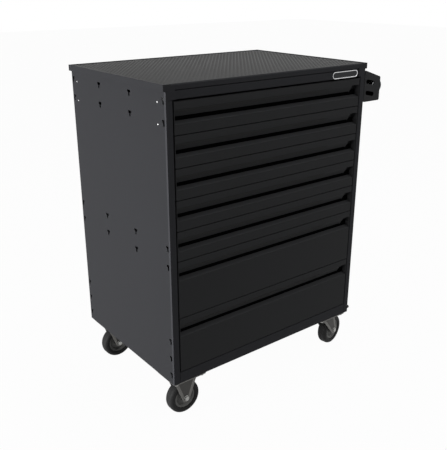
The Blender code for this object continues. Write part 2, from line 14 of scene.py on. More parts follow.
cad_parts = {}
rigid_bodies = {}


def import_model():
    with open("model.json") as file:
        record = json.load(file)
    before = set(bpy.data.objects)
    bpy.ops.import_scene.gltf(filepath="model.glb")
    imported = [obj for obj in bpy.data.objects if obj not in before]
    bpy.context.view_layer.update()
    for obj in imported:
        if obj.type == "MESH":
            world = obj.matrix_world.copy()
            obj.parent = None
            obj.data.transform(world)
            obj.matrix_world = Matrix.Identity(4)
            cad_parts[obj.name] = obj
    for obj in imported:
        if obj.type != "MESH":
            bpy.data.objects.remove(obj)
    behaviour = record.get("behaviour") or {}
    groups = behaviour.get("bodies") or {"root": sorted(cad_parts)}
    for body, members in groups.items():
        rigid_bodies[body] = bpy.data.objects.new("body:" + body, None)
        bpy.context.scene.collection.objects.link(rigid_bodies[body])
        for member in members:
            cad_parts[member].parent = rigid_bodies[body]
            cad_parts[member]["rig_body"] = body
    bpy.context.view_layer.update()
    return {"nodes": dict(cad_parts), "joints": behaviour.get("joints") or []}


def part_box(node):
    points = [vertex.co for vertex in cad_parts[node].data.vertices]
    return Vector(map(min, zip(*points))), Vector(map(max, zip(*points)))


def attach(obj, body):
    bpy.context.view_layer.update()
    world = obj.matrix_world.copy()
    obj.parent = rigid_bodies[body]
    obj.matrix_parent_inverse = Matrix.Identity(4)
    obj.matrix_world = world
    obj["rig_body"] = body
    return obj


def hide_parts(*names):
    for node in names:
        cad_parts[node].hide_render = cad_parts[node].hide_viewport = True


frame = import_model()

bl_info = {
    "name": "Roller Tool Cabinet Looks",
    "version": (1, 0, 0),
    "blender": (4, 5, 0),
    "location": "View3D > Sidebar > Cabinet",
    "description": "Dresses the packed roller tool cabinet with detailed pieces and finishes",
    "category": "Object",
}

body_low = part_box("left_side_panel")[0]
body_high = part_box("right_side_panel")[1]
drawer_numbers = range(1, 8)
weld_distance = 0.000002
flat_angle = math.radians(1)
smooth_angle = math.radians(50)
crisp_angle = math.radians(25)
corner_depth = 0.0008
sunk_depth = 0.0012
slot_below_top = 0.0402
wall_end_cut = 0.0036
full_turn = 2 * math.pi

corners = ("front_left", "back_left", "front_right", "back_right")
rigid_corners = corners[:2]
swivel_corners = corners[2:]


class CabinetFinishes(bpy.types.PropertyGroup):
    coat: bpy.props.FloatVectorProperty(
        name="Body coat", description="Colour of the powder coat on the body and lid",
        subtype="COLOR", default=(0.0228, 0.0232, 0.0256), min=0, max=1,
    )
    drawer_coat: bpy.props.FloatVectorProperty(
        name="Drawer coat", description="Colour of the powder coat on the drawers",
        subtype="COLOR", default=(0.0228, 0.0232, 0.0242), min=0, max=1,
    )
    # Painted highlight: the coat along the front bends is made this much lighter to stand for light catching the
    # bends.
    bend_highlight_gain: bpy.props.FloatProperty(
        name="Edge gain", description="How much lighter the coat is along the front bends than on the flats",
        default=1.75, min=1, max=4,
    )
    # Painted highlight: the coat on the drawers' sloping lips is made this much lighter to stand for the light
    # falling on them.
    lip_highlight_gain: bpy.props.FloatProperty(
        name="Lip gain", description="How much lighter the coat is on the sloping lips of the drawers",
        default=1.5, min=1, max=4,
    )
    mat: bpy.props.FloatVectorProperty(
        name="Mat", description="Colour of the rubber mat",
        subtype="COLOR", default=(0.052, 0.052, 0.052), min=0, max=1,
    )
    zinc: bpy.props.FloatVectorProperty(
        name="Caster zinc", description="Colour of the plated caster steel",
        subtype="COLOR", default=(0.135, 0.132, 0.125), min=0, max=1,
    )
    tyre: bpy.props.FloatVectorProperty(
        name="Tyre", description="Colour of the tyre rubber",
        subtype="COLOR", default=(0.016, 0.016, 0.016), min=0, max=1,
    )


class CabinetSizes(bpy.types.PropertyGroup):
    edge_radius: bpy.props.FloatProperty(
        name="Edge radius", description="Radius of the coated edges of the sheet metal",
        unit="LENGTH", default=0.0004, min=0.0001, max=0.001,
    )
    stud_pitch_x: bpy.props.FloatProperty(
        name="Stud pitch across", description="Distance between the mat's studs from left to right",
        unit="LENGTH", default=0.0131, min=0.006, max=0.05,
    )
    stud_pitch_y: bpy.props.FloatProperty(
        name="Stud pitch back", description="Distance between the mat's studs from front to back",
        unit="LENGTH", default=0.0163, min=0.006, max=0.05,
    )
    stud_height: bpy.props.FloatProperty(
        name="Stud height", description="How far the studs stand out of the mat",
        unit="LENGTH", default=0.0010, min=0.0002, max=0.004,
    )
    lid_chamfer: bpy.props.FloatProperty(
        name="Lid chamfer", description="Width of the slope along the lid's front top edge",
        unit="LENGTH", default=0.0028, min=0.0005, max=0.0030,
    )


class CabinetStage(bpy.types.PropertyGroup):
    lens: bpy.props.FloatProperty(
        name="Lens", description="Focal length of the camera in millimetres", default=51.486, min=10, max=200,
    )
    bearing: bpy.props.FloatProperty(
        name="Bearing", description="How far left of straight ahead the camera stands",
        subtype="ANGLE", default=math.radians(37.943),
    )
    tilt: bpy.props.FloatProperty(
        name="Tilt", description="How far down the camera looks",
        subtype="ANGLE", default=math.radians(20.6818),
    )
    key_power: bpy.props.FloatProperty(
        name="Key light", description="Power of the soft light on the left, in watts",
        default=190, min=0, max=2000,
    )
    sky: bpy.props.FloatProperty(
        name="Sky", description="Strength of the even light from all round",
        default=0.17, min=0, max=2,
    )


# Selecting and editing

def deselect():
    bpy.ops.object.select_all(action="DESELECT")


def make_active(obj):
    deselect()
    obj.select_set(True)
    bpy.context.view_layer.objects.active = obj


def enter_edit(obj, mode="FACE"):
    make_active(obj)
    bpy.ops.object.mode_set(mode="EDIT")
    bpy.ops.mesh.select_mode(type=mode)
    bpy.ops.mesh.select_all(action="DESELECT")


def leave_edit():
    bpy.ops.object.mode_set(mode="OBJECT")


def select_faces(obj, wanted):
    """Selects the faces that wanted(middle, normal, area) accepts."""
    shape = bmesh.from_edit_mesh(obj.data)
    for face in shape.faces:
        face.select_set(wanted(face.calc_center_median(), face.normal, face.calc_area()))
    bmesh.update_edit_mesh(obj.data)


def apply_transform(obj):
    make_active(obj)
    bpy.ops.object.transform_apply(location=True, rotation=True, scale=True)


def apply_modifier(obj, kind, **settings):
    modifier = obj.modifiers.new(kind.lower(), kind)
    for name, value in settings.items():
        setattr(modifier, name, value)
    make_active(obj)
    bpy.ops.object.modifier_apply(modifier=modifier.name)


def tidy_normals(obj):
    enter_edit(obj)
    bpy.ops.mesh.select_all(action="SELECT")
    bpy.ops.mesh.remove_doubles(threshold=weld_distance)
    bpy.ops.mesh.normals_make_consistent(inside=False)
    leave_edit()


def round_edges(obj, width, segments=2, angle=math.radians(32)):
    apply_modifier(
        obj, "BEVEL", width=width, segments=segments, limit_method="ANGLE", angle_limit=angle,
        use_clamp_overlap=True,
    )


def shade(obj, angle=smooth_angle, weighted=True):
    make_active(obj)
    bpy.ops.object.shade_smooth_by_angle(angle=angle)
    if weighted:
        apply_modifier(obj, "WEIGHTED_NORMAL", keep_sharp=True, weight=50)


def finish_piece(obj, body, slot, material, *nodes):
    """Gives a finished piece its material, its body and the CAD nodes it stands for."""
    obj.data.materials.clear()
    obj.data.materials.append(bpy.data.materials[material])
    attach(obj, body)
    if nodes:
        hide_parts(*nodes)
    return obj


# Starting shapes

def box(name, low, high):
    deselect()
    low, high = Vector(low), Vector(high)
    bpy.ops.mesh.primitive_cube_add(size=1, location=(low + high) / 2)
    obj = bpy.context.object
    obj.name = name
    obj.scale = high - low
    apply_transform(obj)
    return obj


def drawn(name, points):
    """A chain of edges drawn point by point, left selected in edit mode."""
    deselect()
    bpy.ops.mesh.primitive_plane_add(size=0.002)
    obj = bpy.context.object
    obj.name = name
    bpy.ops.object.mode_set(mode="EDIT")
    bpy.ops.mesh.select_mode(type="VERT")
    bpy.ops.mesh.select_all(action="SELECT")
    bpy.ops.mesh.merge(type="CENTER")
    here = Vector(points[0])
    bpy.ops.transform.translate(value=here)
    for point in points[1:]:
        step = Vector(point) - here
        bpy.ops.mesh.extrude_region_move(TRANSFORM_OT_translate={"value": step})
        here = Vector(point)
    bpy.ops.mesh.select_all(action="SELECT")
    return obj


def turned(name, profile, steps):
    """A profile of (radius, height) points spun about Z."""
    obj = drawn(name, [(radius, 0, height) for radius, height in profile])
    bpy.ops.mesh.spin(steps=steps, angle=full_turn, center=(0, 0, 0), axis=(0, 0, 1))
    bpy.ops.mesh.select_all(action="SELECT")
    bpy.ops.mesh.remove_doubles(threshold=weld_distance)
    bpy.ops.mesh.normals_make_consistent(inside=False)
    leave_edit()
    return obj


def plate(name, outline, thickness):
    """A flat outline in the XY plane, drawn point by point and extruded upwards."""
    obj = drawn(name, [(x, y, 0) for x, y in outline])
    bpy.ops.mesh.edge_face_add()
    bpy.ops.mesh.extrude_region_move(TRANSFORM_OT_translate={"value": (0, 0, thickness)})
    bpy.ops.mesh.select_all(action="SELECT")
    bpy.ops.mesh.normals_make_consistent(inside=False)
    leave_edit()
    return obj


def moved(obj, matrix):
    """The piece put in place for good by a matrix."""
    obj.matrix_world = matrix
    apply_transform(obj)
    return obj


def placed_copy(obj, name, matrix):
    copy = obj.copy()
    copy.data = obj.data.copy()
    copy.name = name
    bpy.context.scene.collection.objects.link(copy)
    return moved(copy, matrix)


def joined(objects, name):
    """Several shapes made one piece."""
    make_active(objects[0])
    for obj in objects[1:]:
        obj.select_set(True)
    bpy.ops.object.join()
    objects[0].name = name
    return objects[0]


def union(obj, others):
    """Fuses other shapes into a piece."""
    for other in others:
        apply_modifier(obj, "BOOLEAN", object=other, operation="UNION", solver="EXACT")
        remove(other)
    return obj


def remove(*objects):
    for obj in objects:
        bpy.data.objects.remove(obj)


def cut(obj, cutter):
    """Takes a shape out of a piece."""
    apply_modifier(obj, "BOOLEAN", object=cutter, operation="DIFFERENCE", solver="EXACT")
    remove(cutter)


def split(obj, place, normal):
    """Divides a piece's faces along a plane."""
    enter_edit(obj)
    bpy.ops.mesh.select_all(action="SELECT")
    bpy.ops.mesh.bisect(plane_co=place, plane_no=normal)
    leave_edit()


def paint(obj, material, wanted):
    """Gives the faces that wanted(middle, normal, area) accepts a second material."""
    obj.data.materials.append(bpy.data.materials[material])
    for face in obj.data.polygons:
        if wanted(face.center, face.normal, face.area):
            face.material_index = len(obj.data.materials) - 1


def cad_copy(node, name):
    """A copy of a CAD solid with its triangles merged and its flat sides made whole."""
    obj = bpy.data.objects.new(name, frame["nodes"][node].data.copy())
    bpy.context.scene.collection.objects.link(obj)
    enter_edit(obj)
    bpy.ops.mesh.select_all(action="SELECT")
    bpy.ops.mesh.remove_doubles(threshold=weld_distance)
    bpy.ops.mesh.dissolve_limited(angle_limit=flat_angle)
    leave_edit()
    return obj


def body_of(node):
    return frame["nodes"][node]["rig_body"]


def softened(node, name, slot, material, width):
    """A CAD sheet metal solid with rounded edges in place of its sharp ones."""
    obj = cad_copy(node, name)
    round_edges(obj, width, angle=crisp_angle)
    shade(obj, crisp_angle)
    return finish_piece(obj, body_of(node), slot, material, node)


# Finishes

def grained(name, colour, roughness, metallic=0.0, specular=0.3, spread=6.0, tone=0.12,
            grain=700.0, grain_height=0.00008, stretch=(1, 1, 1), gloss_spread=0.06):
    """A finish with slow changes of tone, a fine grain, and gloss that varies with both."""
    material = bpy.data.materials.new(name)
    material.use_nodes = True
    nodes = material.node_tree.nodes
    links = material.node_tree.links
    shader = nodes["Principled BSDF"]
    shader.inputs["Metallic"].default_value = metallic
    shader.inputs["Specular IOR Level"].default_value = specular
    place = nodes.new("ShaderNodeTexCoord")
    mapping = nodes.new("ShaderNodeMapping")
    mapping.inputs["Scale"].default_value = stretch
    links.new(place.outputs["Object"], mapping.inputs["Vector"])
    cloud = nodes.new("ShaderNodeTexNoise")
    cloud.inputs["Scale"].default_value = spread
    cloud.inputs["Detail"].default_value = 3
    links.new(mapping.outputs["Vector"], cloud.inputs["Vector"])
    speckle = nodes.new("ShaderNodeTexNoise")
    speckle.inputs["Scale"].default_value = grain
    speckle.inputs["Detail"].default_value = 2
    links.new(mapping.outputs["Vector"], speckle.inputs["Vector"])
    both = nodes.new("ShaderNodeMath")
    both.operation = "MULTIPLY_ADD"
    both.inputs[1].default_value = 0.35
    links.new(speckle.outputs["Fac"], both.inputs[0])
    links.new(cloud.outputs["Fac"], both.inputs[2])
    ramp = nodes.new("ShaderNodeValToRGB")
    ramp.color_ramp.elements[0].position = 0.35
    ramp.color_ramp.elements[0].color = (*[c * (1 - tone) for c in colour], 1)
    ramp.color_ramp.elements[1].position = 1.0
    ramp.color_ramp.elements[1].color = (*[c * (1 + tone) for c in colour], 1)
    links.new(both.outputs["Value"], ramp.inputs["Fac"])
    links.new(ramp.outputs["Color"], shader.inputs["Base Color"])
    gloss = nodes.new("ShaderNodeMapRange")
    gloss.inputs["To Min"].default_value = roughness - gloss_spread
    gloss.inputs["To Max"].default_value = roughness + gloss_spread
    links.new(cloud.outputs["Fac"], gloss.inputs["Value"])
    links.new(gloss.outputs["Result"], shader.inputs["Roughness"])
    bump = nodes.new("ShaderNodeBump")
    bump.inputs["Distance"].default_value = grain_height
    links.new(speckle.outputs["Fac"], bump.inputs["Height"])
    links.new(bump.outputs["Normal"], shader.inputs["Normal"])
    material.diffuse_color = (*colour, 1)
    return material


class CABINET_OT_finishes(bpy.types.Operator):
    """Make the procedural finishes of the coat, rubber, zinc and plastic, and the lighter and darker coats that
    paint highlights and shade
    """

    bl_idname = "cabinet.finishes"
    bl_label = "Finishes"

    def execute(self, context):
        looks = context.scene.cabinet_finishes
        grained("body_coat", looks.coat, 0.56, specular=0.05, spread=5, tone=0.05, grain=900)
        grained("drawer_coat", looks.drawer_coat, 0.56, specular=0.05, spread=5, tone=0.05, grain=900)
        # The body coat made lighter along the front bends: a painted highlight.
        grained("painted_bend_highlight", [tone * looks.bend_highlight_gain for tone in looks.coat], 0.45, specular=0.05, spread=5,
                tone=0.05, grain=900)
        # The drawer coat made lighter on the sloping lips: a painted highlight.
        grained("painted_lip_highlight", [tone * looks.lip_highlight_gain for tone in looks.drawer_coat], 0.50, specular=0.05, spread=5,
                tone=0.05, grain=900)
        # A near-black coat put in slots where there is only shade: painted shade.
        grained("painted_slot_shade", (0.0016, 0.0016, 0.0017), 0.85, specular=0.0, spread=20, tone=0.2, grain=900)
        grained("studded_rubber", looks.mat, 0.70, specular=0.14, spread=9, tone=0.10, grain=500,
                grain_height=0.0001)
        grained("rail_zinc", (0.50, 0.51, 0.52), 0.38, metallic=1.0, spread=14, tone=0.12,
                grain=300, stretch=(1, 0.08, 1), grain_height=0.00003)
        grained("pressed_zinc", looks.zinc, 0.50, metallic=0.6, spread=30, tone=0.14, grain=420,
                grain_height=0.00005)
        # The caster zinc made darker in the sunk middle of the legs: painted shade.
        grained("painted_sunk_shade", [tone * 0.45 for tone in looks.zinc], 0.60, metallic=0.6, spread=30, tone=0.14,
                grain=420, grain_height=0.00005)
        grained("bolt_zinc", (0.30, 0.30, 0.29), 0.36, metallic=1.0, spread=60, tone=0.10, grain=600,
                grain_height=0.00003)
        grained("rivet_zinc", (0.40, 0.40, 0.40), 0.40, metallic=1.0, spread=60, tone=0.10, grain=600,
                grain_height=0.00003)
        grained("moulded_rim", (0.115, 0.115, 0.110), 0.50, specular=0.20, spread=25, tone=0.08, grain=800)
        grained("tread_rubber", looks.tyre, 0.62, specular=0.12, spread=22, tone=0.25, grain=600,
                grain_height=0.0001)
        grained("satin_tube", (0.55, 0.56, 0.57), 0.30, metallic=1.0, spread=20, tone=0.06, grain=900,
                stretch=(1, 0.03, 1), grain_height=0.00002)
        grained("bracket_nylon", (0.020, 0.0205, 0.0215), 0.55, specular=0.08, spread=18, tone=0.10,
                grain=1200)
        grained("recess_strip", (0.020, 0.020, 0.020), 0.55, specular=0.04, spread=12, tone=0.08, grain=900)
        grained("plate_rim", (0.62, 0.62, 0.63), 0.28, metallic=1.0, spread=40, tone=0.05, grain=900,
                grain_height=0.00002)
        grained("plate_field", (0.030, 0.031, 0.033), 0.35, specular=0.1, spread=30, tone=0.06, grain=1200,
                grain_height=0.00002)
        for node, obj in frame["nodes"].items():
            if "runner" in node:
                obj.data.materials.clear()
                obj.data.materials.append(bpy.data.materials["rail_zinc"])
        return {"FINISHED"}


# The body

class CABINET_OT_body(bpy.types.Operator):
    """Round the edges of the body's sheet metal, and press a panel into its back"""

    bl_idname = "cabinet.body"
    bl_label = "Body"

    def execute(self, context):
        width = context.scene.cabinet_sizes.edge_radius
        for node in ("header_panel", "base_pan"):
            softened(node, node + "_sheet", "powder_coat", "body_coat", width)
        self.side("left_side_panel", -1, width)
        self.side("right_side_panel", 1, width)
        self.back(width)
        return {"FINISHED"}

    def side(self, node, outward, width):
        """A side sheet with room for the lid's corner plate, and a lighter coat along its front bend that paints
        the bend's highlight.
        """
        obj = cad_copy(node, node + "_sheet")
        low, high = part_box(node)
        outside = low.x if outward < 0 else high.x
        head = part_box("header_panel")[0].z
        split(obj, (0, 0, head - 0.002), (0, 0, 1))
        reach = sorted((outside - outward * 0.0029, outside - outward * 0.0290))
        room = box("corner_room", (reach[0], low.y - 0.001, head), (reach[1], low.y + corner_depth, high.z))
        cut(obj, room)
        bend = low.y + 0.0064
        split(obj, (0, bend, 0), (0, 1, 0))
        round_edges(obj, width)
        shade(obj)
        finish_piece(obj, body_of(node), "powder_coat", "body_coat", node)
        # The strip beside the front bend gets the lighter coat: a painted highlight.
        paint(obj, "painted_bend_highlight", lambda middle, normal, area: (
            middle.y < bend and normal.x * outward > 0.5 and abs(middle.x - outside) < 0.003))

    def back(self, width):
        low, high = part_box("back_panel")
        thickness = high.y - low.y
        outline = [(low.x, low.z), (high.x, low.z), (high.x, high.z), (low.x, high.z)]
        obj = drawn("back_panel_sheet", [(x, high.y, z) for x, z in outline])
        bpy.ops.mesh.edge_face_add()
        bpy.ops.mesh.select_mode(type="FACE")
        bpy.ops.mesh.inset(thickness=0.040)
        bpy.ops.mesh.inset(thickness=0.004)
        bpy.ops.transform.translate(value=(0, -0.0025, 0))
        bpy.ops.mesh.select_all(action="SELECT")
        bpy.ops.mesh.normals_make_consistent(inside=False)
        leave_edit()
        apply_modifier(obj, "SOLIDIFY", thickness=thickness, offset=-1 if self.faces_back(obj) else 1)
        round_edges(obj, width)
        shade(obj)
        finish_piece(obj, body_of("back_panel"), "powder_coat", "body_coat", "back_panel")

    def faces_back(self, obj):
        return sum(face.normal.y * face.area for face in obj.data.polygons) > 0


class CABINET_OT_lid(bpy.types.Operator):
    """Slope the lid's front top edge and round the rest of its edges"""

    bl_idname = "cabinet.lid"
    bl_label = "Lid"

    def execute(self, context):
        sizes = context.scene.cabinet_sizes
        obj = cad_copy("lid", "lid_sheet")
        low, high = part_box("lid")
        past = 0.001
        front = low.y + corner_depth
        room = box(
            "front_room", (low.x - past, low.y - past, low.z - past), (high.x + past, front, high.z + past))
        cut(obj, room)
        flat = 0.019
        length = high.x - low.x - 2 * flat
        side = sizes.lid_chamfer * math.sqrt(2)
        slope = box("slope", (-length / 2, -side / 2, -side / 2), (length / 2, side / 2, side / 2))
        place = Matrix.Translation(((low.x + high.x) / 2, front, high.z))
        moved(slope, place @ Matrix.Rotation(math.pi / 4, 4, "X"))
        cut(obj, slope)
        round_edges(obj, sizes.edge_radius)
        shade(obj)
        finish_piece(obj, body_of("lid"), "powder_coat", "body_coat", "lid")
        for name, outside, inward in (("left", low.x, 1), ("right", high.x, -1)):
            self.corner_plate(f"lid_{name}_corner", outside, inward, flat)
        return {"FINISHED"}

    def corner_plate(self, name, outside, inward, flat):
        """The plate at a front corner of the lid, which slopes down where it meets the header."""
        low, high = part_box("lid")
        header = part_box("header_panel")[0]
        inner = header.x - low.x - 0.0003
        panel = body_low.x - low.x + 0.0030
        outline = [
            (0, high.z), (flat, high.z), (inner, high.z - 0.0105), (inner, header.z + 0.0001),
            (panel, header.z + 0.0001), (panel, low.z), (0, low.z),
        ]
        points = [(outside + inward * x, low.y, z) for x, z in outline]
        obj = drawn(name, points)
        bpy.ops.mesh.edge_face_add()
        bpy.ops.mesh.extrude_region_move(TRANSFORM_OT_translate={"value": (0, corner_depth - 0.00005, 0)})
        bpy.ops.mesh.select_all(action="SELECT")
        bpy.ops.mesh.normals_make_consistent(inside=False)
        leave_edit()
        round_edges(obj, 0.0003)
        shade(obj)
        finish_piece(obj, body_of("lid"), "powder_coat", "body_coat")


class CABINET_OT_mat(bpy.types.Operator):
    """Lay the rubber mat, with rows of studs that run slantwise across it"""

    bl_idname = "cabinet.mat"
    bl_label = "Mat"

    def execute(self, context):
        sizes = context.scene.cabinet_sizes
        low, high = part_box("top_mat")
        top = high.z - sizes.stud_height
        base = box("mat_base", low, (high.x, high.y, top))
        round_edges(base, 0.0005)
        across, back = sizes.stud_pitch_x, sizes.stud_pitch_y
        rows = []
        for shift in (0, 0.5):
            columns = int((high.x - low.x - across) / across - shift)
            lines = int((high.y - low.y - back) / back - shift)
            start = (
                (low.x + high.x) / 2 - (columns - 1) * across / 2,
                (low.y + high.y) / 2 - (lines - 1) * back / 2,
            )
            if shift:
                start = (first[0] + across / 2, first[1] + back / 2)
            first = start
            stud = self.stud(f"mat_studs_{len(rows)}", sizes.stud_height)
            moved(stud, Matrix.Translation((start[0], start[1], top - 0.0001)))
            for count, step in ((columns, (across, 0, 0)), (lines, (0, back, 0))):
                apply_modifier(
                    stud, "ARRAY", count=count, use_relative_offset=False, use_constant_offset=True,
                    constant_offset_displace=step,
                )
            rows.append(stud)
        obj = joined([base, *rows], "studded_mat")
        shade(obj, math.radians(38), weighted=False)
        finish_piece(obj, body_of("top_mat"), "mat_rubber", "studded_rubber", "top_mat")
        return {"FINISHED"}

    def stud(self, name, height):
        """A low round stud with sloping sides."""
        deselect()
        radius = 0.0040
        bpy.ops.mesh.primitive_circle_add(vertices=8, radius=radius, fill_type="NGON")
        obj = bpy.context.object
        obj.name = name
        bpy.ops.object.mode_set(mode="EDIT")
        bpy.ops.mesh.select_mode(type="FACE")
        bpy.ops.mesh.select_all(action="SELECT")
        bpy.ops.mesh.extrude_region_move(TRANSFORM_OT_translate={"value": (0, 0, height * 0.75)})
        bpy.ops.transform.resize(value=(0.72, 0.72, 1))
        bpy.ops.mesh.inset(thickness=radius * 0.25)
        bpy.ops.transform.translate(value=(0, 0, height * 0.25))
        leave_edit()
        return obj


# The drawers

class CABINET_OT_drawers(bpy.types.Operator):
    """Round the edges of the drawer fronts and trays, and line each finger recess with a strip and a near-black
    bar of painted shadow
    """

    bl_idname = "cabinet.drawers"
    bl_label = "Drawers"

    def execute(self, context):
        width = context.scene.cabinet_sizes.edge_radius
        for number in drawer_numbers:
            self.front(number, width)
            softened(f"drawer_tray_{number}", f"drawer_{number}_tray", "drawer_paint", "drawer_coat", width)
            self.strip(number)
            self.slot_shadow_bar(number)
        return {"FINISHED"}

    def front(self, number, width):
        """A drawer front whose recess wall ends a little higher over the finger slot."""
        node = f"drawer_front_{number}"
        low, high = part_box(node)
        obj = cad_copy(node, f"drawer_{number}_front")
        slot_top = high.z - slot_below_top
        cut(obj, box(
            "wall_end", (low.x + 0.0018, low.y + 0.0090, slot_top - 0.0015),
            (high.x - 0.0320, low.y + 0.0150, slot_top + wall_end_cut)))
        round_edges(obj, width, angle=crisp_angle)
        shade(obj, crisp_angle)
        finish_piece(obj, f"drawer_{number}", "drawer_paint", "drawer_coat", node)
        # The sloping lip faces below the finger slot get the lighter coat: a painted highlight.
        paint(obj, "painted_lip_highlight", lambda middle, normal, area: (
            normal.z > 0.35 and normal.y < -0.15 and middle.y < low.y + 0.012 and middle.z < slot_top))

    def slot_shadow_bar(self, number):
        """A near-black bar behind the finger slot, which paints the slot's shadow."""
        low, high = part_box(f"drawer_front_{number}")
        slot_top = high.z - slot_below_top
        obj = box(
            f"drawer_{number}_slot_shadow_bar",
            (low.x + 0.0018, low.y + 0.0152, slot_top - 0.0095),
            (high.x - 0.0018, low.y + 0.0184, slot_top + 0.0065),
        )
        round_edges(obj, 0.0003)
        shade(obj)
        finish_piece(obj, f"drawer_{number}", "drawer_paint", "painted_slot_shade")

    def strip(self, number):
        """The thin strip along the top of the recess wall."""
        low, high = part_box(f"drawer_front_{number}")
        band = 0.0182
        slope = Vector((0, 0.0130, -0.0220)).normalized()
        out = Vector((0, slope.z, -slope.y))
        top = Vector((0, low.y, high.z - band)) + slope * 0.0012
        bottom = top + slope * 0.0085
        left = low.x + 0.0022
        right = body_low.x + 0.553
        points = [Vector((x, p.y, p.z)) + out * 0.0001 for x, p in (
            (left, top), (right, top), (right - 0.006, bottom), (left, bottom))]
        obj = drawn(f"drawer_{number}_strip", points)
        bpy.ops.mesh.edge_face_add()
        bpy.ops.mesh.extrude_region_move(TRANSFORM_OT_translate={"value": out * 0.0009})
        bpy.ops.mesh.select_all(action="SELECT")
        bpy.ops.mesh.normals_make_consistent(inside=False)
        leave_edit()
        round_edges(obj, 0.0002)
        shade(obj)
        finish_piece(obj, f"drawer_{number}", "drawer_paint", "recess_strip")


class CABINET_OT_nameplate(bpy.types.Operator):
    """Make the blank nameplate: a bright raised rim around a plain dark field"""

    bl_idname = "cabinet.nameplate"
    bl_label = "Nameplate"

    def execute(self, context):
        low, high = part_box("nameplate")
        middle = (low + high) / 2
        length, height = high.x - low.x, high.z - low.z
        steps = 16
        radius = height / 2
        outline = []
        for side in (1, -1):
            for i in range(steps + 1):
                angle = math.pi * i / steps - side * math.pi / 2
                outline.append((
                    side * (length / 2 - radius) + radius * math.cos(angle), radius * math.sin(angle)))
        thickness = high.y - low.y
        obj = plate("nameplate_badge", outline, thickness)
        enter_edit(obj)
        select_faces(obj, lambda middle, normal, area: normal.z > 0.9)
        bpy.ops.mesh.inset(thickness=0.0016)
        bpy.ops.mesh.inset(thickness=0.0004)
        bpy.ops.transform.translate(value=(0, 0, -thickness * 0.4))
        leave_edit()
        upright = Matrix(((1, 0, 0), (0, 0, -1), (0, 1, 0))).to_4x4()
        moved(obj, Matrix.Translation((middle.x, high.y, middle.z)) @ upright)
        finish_piece(obj, body_of("nameplate"), "nameplate_metal", "plate_rim", "nameplate")
        paint(obj, "plate_field", lambda middle, normal, area: (
            normal.y < -0.9 and area > length * height * 0.4))
        round_edges(obj, 0.0002)
        shade(obj)
        return {"FINISHED"}


# The handle

class CABINET_OT_handle(bpy.types.Operator):
    """Round the handle's brackets, and make its tube with end rings and screws"""

    bl_idname = "cabinet.handle"
    bl_label = "Push handle"

    def execute(self, context):
        for end in ("front", "back"):
            node = "handle_bracket_" + end
            obj = cad_copy(node, f"handle_{end}_bracket")
            round_edges(obj, 0.0012, segments=3)
            shade(obj)
            finish_piece(obj, body_of(node), "powder_coat", "bracket_nylon", node)
            self.paint_slot_shade(obj, node, end)
        self.tube()
        self.screws()
        return {"FINISHED"}

    def paint_slot_shade(self, obj, node, end):
        """Painted shade: a near-black coat on the walls of the bracket's two blind slots."""
        low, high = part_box(node)
        face, inward = (low.y, 1) if end == "front" else (high.y, -1)
        paint(obj, "painted_slot_shade", lambda middle, normal, area: (
            0.0007 < (middle.y - face) * inward < 0.0215
            and low.x + 0.004 < middle.x < low.x + 0.048
            and low.z + 0.010 < middle.z < low.z + 0.070))

    def tube(self):
        low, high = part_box("handle_grip")
        radius = (high.x - low.x) / 2
        length = high.y - low.y
        wall = 0.002
        edge = 0.0006
        half = length / 2
        obj = turned("handle_tube", [
            (radius - wall, half), (radius - edge, half), (radius, half - edge),
            (radius, edge - half), (radius - edge, -half), (radius - wall, -half), (radius - wall, half),
        ], 64)
        lying = Matrix.Rotation(math.pi / 2, 4, "X")
        moved(obj, Matrix.Translation((low + high) / 2) @ lying)
        shade(obj)
        finish_piece(obj, body_of("handle_grip"), "grip_metal", "satin_tube", "handle_grip")

    def screws(self):
        """A round-headed screw low on the outer edge of each bracket."""
        pan = pan_head("handle_screw", 0.0045, 0.0022)
        facing = Matrix.Rotation(math.pi / 2, 4, "Y")
        heads = []
        for end in ("front", "back"):
            low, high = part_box("handle_bracket_" + end)
            place = (high.x - 0.0001, (low.y + high.y) / 2, low.z + (high.z - low.z) * 0.10)
            heads.append(placed_copy(pan, "head", Matrix.Translation(place) @ facing))
        remove(pan)
        obj = joined(heads, "handle_screws")
        shade(obj)
        finish_piece(obj, body_of("handle_grip"), "caster_zinc", "bolt_zinc")


# Fasteners

def pan_head(name, radius, height):
    """A domed screw head with a recessed round socket, standing on z = 0."""
    profile = [
        (0, height * 0.45), (radius * 0.38, height * 0.45), (radius * 0.42, height * 0.95),
        (radius * 0.62, height), (radius * 0.88, height * 0.72), (radius, height * 0.3), (radius, 0), (0, 0),
    ]
    return turned(name, profile, 24)


def hex_head(name, radius, height, washer_radius=0, washer_height=0):
    """A six-sided bolt head with a chamfered top, on a washer, standing on z = 0."""
    deselect()
    bpy.ops.mesh.primitive_cylinder_add(
        vertices=6, radius=radius, depth=height, location=(0, 0, washer_height + height / 2))
    obj = bpy.context.object
    obj.name = name
    apply_transform(obj)
    top = washer_height + height
    enter_edit(obj)
    select_faces(obj, lambda middle, normal, area: normal.z > 0.9)
    bpy.ops.mesh.inset(thickness=radius * 0.13)
    bpy.ops.transform.translate(value=(0, 0, height * 0.16))
    leave_edit()
    round_edges(obj, radius * 0.05)
    if washer_radius:
        washer = turned(name + "_washer", [
            (0, washer_height), (washer_radius * 0.94, washer_height), (washer_radius, washer_height * 0.6),
            (washer_radius, 0), (0, 0),
        ], 32)
        obj = joined([obj, washer], name)
    return obj


